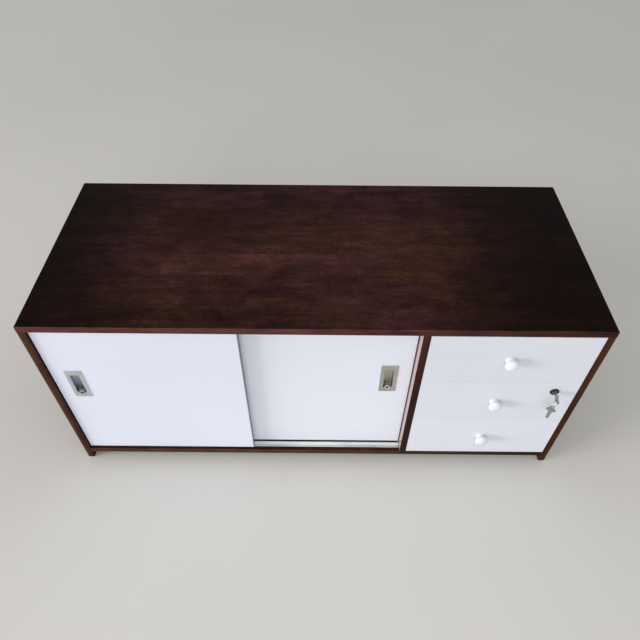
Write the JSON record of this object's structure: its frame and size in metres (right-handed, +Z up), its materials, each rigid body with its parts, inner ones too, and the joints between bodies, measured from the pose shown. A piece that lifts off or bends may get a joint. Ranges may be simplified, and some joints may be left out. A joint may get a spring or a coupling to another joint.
{
  "type": "office credenza",
  "caption": "Low office credenza in dark wood with sliding white doors over a shelf on the left and a bank of white drawers on the right, with round knobs, flush pulls and locks.",
  "frame": {"origin": "on the floor, in the middle of the whole object as seen from above, with the key that stands out of the front counted in", "axes": "+Z up, -Y out of the front with the doors and drawers, +X to the right of someone who faces the front"},
  "size_m": [1.2, 0.5292, 0.515],
  "materials": {
    "stained_wood": "dark walnut stain under satin lacquer",
    "white_board": "cool white melamine, satin",
    "white_gloss": "white gloss lacquer",
    "brushed_nickel": "brushed satin nickel",
    "zinc_steel": "zinc plated",
    "aluminium_track": "white powder coat on aluminium",
    "dark_bronze": "dark bronze, satin",
    "guide_nylon": "moulded nylon",
    "glide_nylon": "dark moulded nylon",
    "drawer_birch": "clear lacquered birch ply",
    "dowel_beech": "bare beech",
    "back_board": "stained back board"
  },
  "bodies": {
    "cabinet": {"top_panel": "stained_wood", "left_side_panel": "stained_wood", "right_side_panel": "stained_wood", "bottom_panel": "stained_wood", "divider_panel": "stained_wood", "back_panel": "back_board", "cabinet_shelf": "stained_wood", "shelf_pins": "zinc_steel", "upper_drawer_rail": "stained_wood", "lower_drawer_rail": "stained_wood", "bottom_door_track": "aluminium_track", "top_door_track": "aluminium_track", "foot_glides": "glide_nylon", "panel_dowels": "dowel_beech", "back_panel_screws": "zinc_steel", "slide_cabinet_members": "zinc_steel", "lock_strike_plates": "zinc_steel"},
    "left_door": {"left_door_panel": "white_board", "left_door_pull": "brushed_nickel", "left_door_roller_housings": "guide_nylon", "left_door_top_guides": "guide_nylon"},
    "left_door_outer_roller": {"left_door_outer_roller": "guide_nylon"},
    "left_door_inner_roller": {"left_door_inner_roller": "guide_nylon"},
    "left_door_lock_plug": {"left_door_lock_plug": "dark_bronze"},
    "left_door_lock_bolt": {"left_door_lock_bolt": "zinc_steel"},
    "right_door": {"right_door_panel": "white_board", "right_door_pull": "brushed_nickel", "right_door_roller_housings": "guide_nylon", "right_door_top_guides": "guide_nylon"},
    "right_door_outer_roller": {"right_door_outer_roller": "guide_nylon"},
    "right_door_inner_roller": {"right_door_inner_roller": "guide_nylon"},
    "right_door_lock_plug": {"right_door_lock_plug": "dark_bronze"},
    "right_door_lock_bolt": {"right_door_lock_bolt": "zinc_steel"},
    "bottom_drawer": {"bottom_drawer_front": "white_board", "bottom_drawer_sides": "drawer_birch", "bottom_drawer_back": "drawer_birch", "bottom_drawer_bottom": "drawer_birch", "bottom_drawer_knob": "white_gloss", "bottom_drawer_slide_members": "zinc_steel"},
    "bottom_drawer_slide_middles": {"bottom_drawer_slide_middles": "zinc_steel"},
    "middle_drawer": {"middle_drawer_front": "white_board", "middle_drawer_sides": "drawer_birch", "middle_drawer_back": "drawer_birch", "middle_drawer_bottom": "drawer_birch", "middle_drawer_knob": "white_gloss", "middle_drawer_slide_members": "zinc_steel", "drawer_lock_barrel": "dark_bronze"},
    "middle_drawer_slide_middles": {"middle_drawer_slide_middles": "zinc_steel"},
    "top_drawer": {"top_drawer_front": "white_board", "top_drawer_sides": "drawer_birch", "top_drawer_back": "drawer_birch", "top_drawer_bottom": "drawer_birch", "top_drawer_knob": "white_gloss", "top_drawer_slide_members": "zinc_steel"},
    "top_drawer_slide_middles": {"top_drawer_slide_middles": "zinc_steel"},
    "drawer_lock": {"drawer_lock_plug": "brushed_nickel", "drawer_lock_cam": "zinc_steel", "drawer_lock_key": "brushed_nickel"},
    "spare_key": {"key_ring": "brushed_nickel", "spare_key": "brushed_nickel"}
  },
  "joints": [
    {"name": "left_door_slide", "type": "slide", "parent": "cabinet", "child": "left_door", "axis": [1, 0, 0], "range_m": [0, 0.374]},
    {"name": "left_door_outer_roller_turn", "type": "hinge", "parent": "left_door", "child": "left_door_outer_roller", "pos_m": [-0.5225, -0.21525, 0.0513], "axis": [0, 1, 0], "range_deg": [0, 1787]},
    {"name": "left_door_inner_roller_turn", "type": "hinge", "parent": "left_door", "child": "left_door_inner_roller", "pos_m": [-0.2215, -0.21525, 0.0513], "axis": [0, 1, 0], "range_deg": [0, 1787]},
    {"name": "left_door_bolt_throw", "type": "slide", "parent": "left_door", "child": "left_door_lock_bolt", "axis": [-1, 0, 0], "range_m": [0, 0.008]},
    {"name": "left_door_lock_turn", "type": "hinge", "parent": "left_door", "child": "left_door_lock_plug", "pos_m": [-0.5325, -0.22325, 0.288], "axis": [0, -1, 0], "range_deg": [0, 91]},
    {"name": "right_door_slide", "type": "slide", "parent": "cabinet", "child": "right_door", "axis": [1, 0, 0], "range_m": [-0.374, 0]},
    {"name": "right_door_outer_roller_turn", "type": "hinge", "parent": "right_door", "child": "right_door_outer_roller", "pos_m": [0.1525, -0.19325, 0.0513], "axis": [0, 1, 0], "range_deg": [-1787, 0]},
    {"name": "right_door_inner_roller_turn", "type": "hinge", "parent": "right_door", "child": "right_door_inner_roller", "pos_m": [-0.1485, -0.19325, 0.0513], "axis": [0, 1, 0], "range_deg": [-1787, 0]},
    {"name": "right_door_bolt_throw", "type": "slide", "parent": "right_door", "child": "right_door_lock_bolt", "axis": [1, 0, 0], "range_m": [0, 0.008]},
    {"name": "right_door_lock_turn", "type": "hinge", "parent": "right_door", "child": "right_door_lock_plug", "pos_m": [0.1625, -0.20125, 0.288], "axis": [0, 1, 0], "range_deg": [0, 91]},
    {"name": "bottom_drawer_slide", "type": "slide", "parent": "cabinet", "child": "bottom_drawer", "axis": [0, -1, 0], "range_m": [0, 0.44]},
    {"name": "bottom_drawer_middles_slide", "type": "slide", "parent": "cabinet", "child": "bottom_drawer_slide_middles", "axis": [0, -1, 0], "range_m": [0, 0.2201]},
    {"name": "middle_drawer_slide", "type": "slide", "parent": "cabinet", "child": "middle_drawer", "axis": [0, -1, 0], "range_m": [0, 0.44]},
    {"name": "middle_drawer_middles_slide", "type": "slide", "parent": "cabinet", "child": "middle_drawer_slide_middles", "axis": [0, -1, 0], "range_m": [0, 0.2201]},
    {"name": "top_drawer_slide", "type": "slide", "parent": "cabinet", "child": "top_drawer", "axis": [0, -1, 0], "range_m": [0, 0.44]},
    {"name": "top_drawer_middles_slide", "type": "slide", "parent": "cabinet", "child": "top_drawer_slide_middles", "axis": [0, -1, 0], "range_m": [0, 0.2201]},
    {"name": "drawer_lock_turn", "type": "hinge", "parent": "middle_drawer", "child": "drawer_lock", "pos_m": [0.5321, -0.22945, 0.3132], "axis": [0, 1, 0], "range_deg": [0, 90]},
    {"name": "spare_key_hang", "type": "hinge", "parent": "drawer_lock", "child": "spare_key", "pos_m": [0.5321, -0.25765, 0.3132], "axis": [0, 1, 0], "range_deg": [-91, 0]}
  ],
  "couplings": [
    {"joint": "left_door_outer_roller_turn", "follows": "left_door_slide", "rad_per_m": 83.333},
    {"joint": "left_door_inner_roller_turn", "follows": "left_door_slide", "rad_per_m": 83.333},
    {"joint": "left_door_lock_turn", "follows": "left_door_bolt_throw", "rad_per_m": 196.35},
    {"joint": "right_door_outer_roller_turn", "follows": "right_door_slide", "rad_per_m": 83.333},
    {"joint": "right_door_inner_roller_turn", "follows": "right_door_slide", "rad_per_m": 83.333},
    {"joint": "right_door_lock_turn", "follows": "right_door_bolt_throw", "rad_per_m": 196.35},
    {"joint": "bottom_drawer_middles_slide", "follows": "bottom_drawer_slide", "ratio": 0.5},
    {"joint": "middle_drawer_middles_slide", "follows": "middle_drawer_slide", "ratio": 0.5},
    {"joint": "top_drawer_middles_slide", "follows": "top_drawer_slide", "ratio": 0.5},
    {"joint": "spare_key_hang", "follows": "drawer_lock_turn", "ratio": -1}
  ]
}
